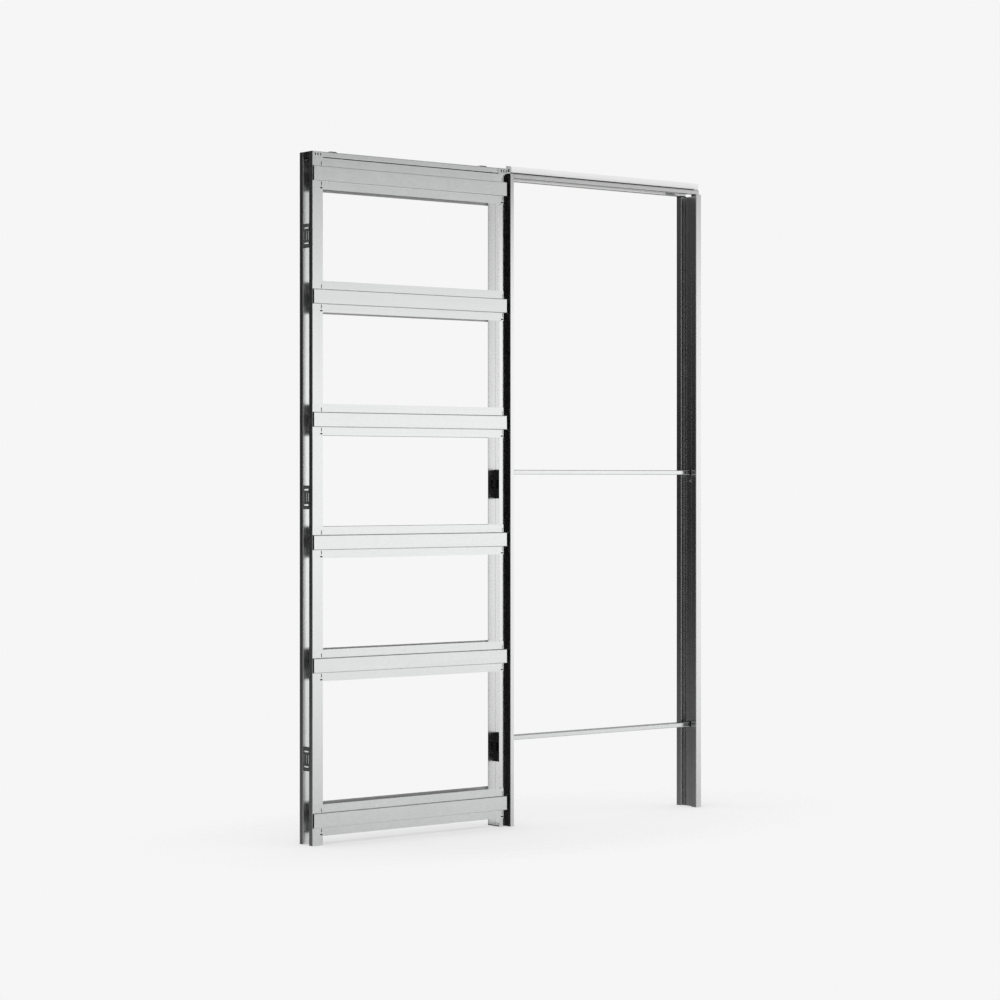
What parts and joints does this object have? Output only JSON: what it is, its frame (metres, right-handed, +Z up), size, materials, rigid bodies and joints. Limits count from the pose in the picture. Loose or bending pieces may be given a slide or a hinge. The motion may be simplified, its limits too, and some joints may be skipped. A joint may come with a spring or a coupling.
{
  "type": "pocket door frame",
  "caption": "Sheet-steel frame for a sliding pocket door: barred pocket, flush mouth posts, header with track, strike jamb and spacer rods.",
  "frame": {"origin": "on the floor, at the middle of the frame's length and of the wall's thickness", "axes": "+X from the pocket towards the strike jamb, +Y from the front face to the rear face, +Z up"},
  "size_m": [1.603, 0.1, 2.1385],
  "materials": {
    "galvanised_steel": "zinc-coated sheet with faint spangle, satin",
    "trim_steel": "zinc-coated profile, smooth satin",
    "white_coated_steel": "matt white coating",
    "track_aluminium": "mill-finish extrusion",
    "grey_plastic": "moulded, matt",
    "black_plastic": "moulded, satin"
  },
  "bodies": {
    "root": {"end_clip_1": "grey_plastic", "end_clip_2": "grey_plastic", "end_clip_3": "grey_plastic", "end_front_post": "galvanised_steel", "end_rear_post": "galvanised_steel", "front_bar_1": "galvanised_steel", "front_bar_2": "galvanised_steel", "front_bar_3": "galvanised_steel", "front_bar_4": "galvanised_steel", "front_bar_5": "galvanised_steel", "front_bar_6": "galvanised_steel", "hanger_track": "track_aluminium", "header_front_profile": "trim_steel", "header_front_strip": "white_coated_steel", "header_rear_profile": "trim_steel", "header_rear_strip": "white_coated_steel", "jamb_front_cap": "black_plastic", "jamb_rear_cap": "black_plastic", "lower_rod_plug": "black_plastic", "lower_spacer_block": "black_plastic", "lower_spacer_rod": "galvanised_steel", "mouth_floor_plate": "trim_steel", "mouth_front_bracket": "trim_steel", "mouth_front_packing": "black_plastic", "mouth_front_post": "trim_steel", "mouth_rear_bracket": "trim_steel", "mouth_rear_packing": "black_plastic", "mouth_rear_post": "trim_steel", "pocket_rail": "galvanised_steel", "rail_end_stop": "black_plastic", "rail_lug_1": "black_plastic", "rail_lug_2": "black_plastic", "rear_bar_1": "galvanised_steel", "rear_bar_2": "galvanised_steel", "rear_bar_3": "galvanised_steel", "rear_bar_4": "galvanised_steel", "rear_bar_5": "galvanised_steel", "rear_bar_6": "galvanised_steel", "strike_jamb": "trim_steel", "upper_rod_plug": "black_plastic", "upper_spacer_block": "black_plastic", "upper_spacer_rod": "galvanised_steel"}
  },
  "joints": []
}
